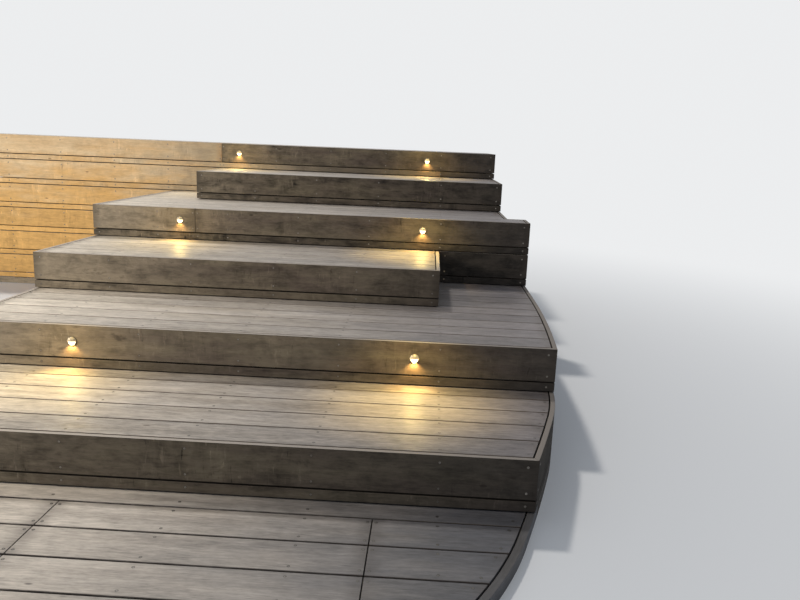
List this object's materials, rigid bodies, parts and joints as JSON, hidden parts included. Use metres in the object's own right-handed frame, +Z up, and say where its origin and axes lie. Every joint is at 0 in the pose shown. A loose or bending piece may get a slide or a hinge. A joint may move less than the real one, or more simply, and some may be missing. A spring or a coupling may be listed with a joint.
{
  "type": "wooden deck stairs",
  "caption": "Wide timber deck stairs with two landings, block steps, a curved side, recessed riser lights, a low front deck and an upper deck with a clad skirt.",
  "frame": {"origin": "on the ground plane, at the centre of the bounding box in plan", "axes": "+Z up, +Y back and up the stairs, +X to the right when facing up the stairs"},
  "size_m": [4.3154, 5.366, 1.161],
  "materials": {
    "tread_wood": "weathered cream-grey deck boards, long dry streaks",
    "lower_wood": "weathered grey-brown deck boards of the lower deck",
    "riser_wood": "dark brown riser and side boards with soft water stains and pale top edges",
    "skirt_wood": "warm tan skirt boards of the upper deck with pale stains",
    "frame_wood": "dark, damp framing timber",
    "light_metal": "dull satin rim and hood of the recessed lights",
    "lens": "warm white frosted lens, lit"
  },
  "bodies": {
    "root": {"lower_deck_boards": "lower_wood", "lower_deck_edge": "lower_wood", "lower_deck_front": "lower_wood", "lower_deck_left": "lower_wood", "lower_deck_battens": "frame_wood", "step_1_boards": "tread_wood", "landing_2_boards": "tread_wood", "step_3_boards": "tread_wood", "landing_4_boards": "tread_wood", "step_5_boards": "tread_wood", "upper_deck_boards": "tread_wood", "riser_1": "riser_wood", "riser_2": "riser_wood", "riser_3": "riser_wood", "riser_4": "riser_wood", "riser_4_lower": "riser_wood", "riser_5": "riser_wood", "riser_6": "riser_wood", "right_side_1": "riser_wood", "right_side_2": "riser_wood", "right_side_3": "riser_wood", "right_side_4": "riser_wood", "block_right_side": "riser_wood", "left_side_1": "riser_wood", "left_side_2": "riser_wood", "left_side_3": "riser_wood", "left_side_4": "riser_wood", "block_left_side": "riser_wood", "deck_skirt_boards": "skirt_wood", "deck_skirt_strips": "skirt_wood", "deck_left_side": "riser_wood", "notch_boards": "riser_wood", "rear_side_boards": "riser_wood", "back_boards": "riser_wood", "base_boards": "riser_wood", "step_1_frame": "frame_wood", "landing_2_frame": "frame_wood", "step_3_frame": "frame_wood", "landing_4_frame": "frame_wood", "step_5_frame": "frame_wood", "upper_deck_frame": "frame_wood", "bearers": "frame_wood", "posts": "frame_wood", "light_bodies": "light_metal", "light_lenses": "lens"}
  },
  "joints": []
}
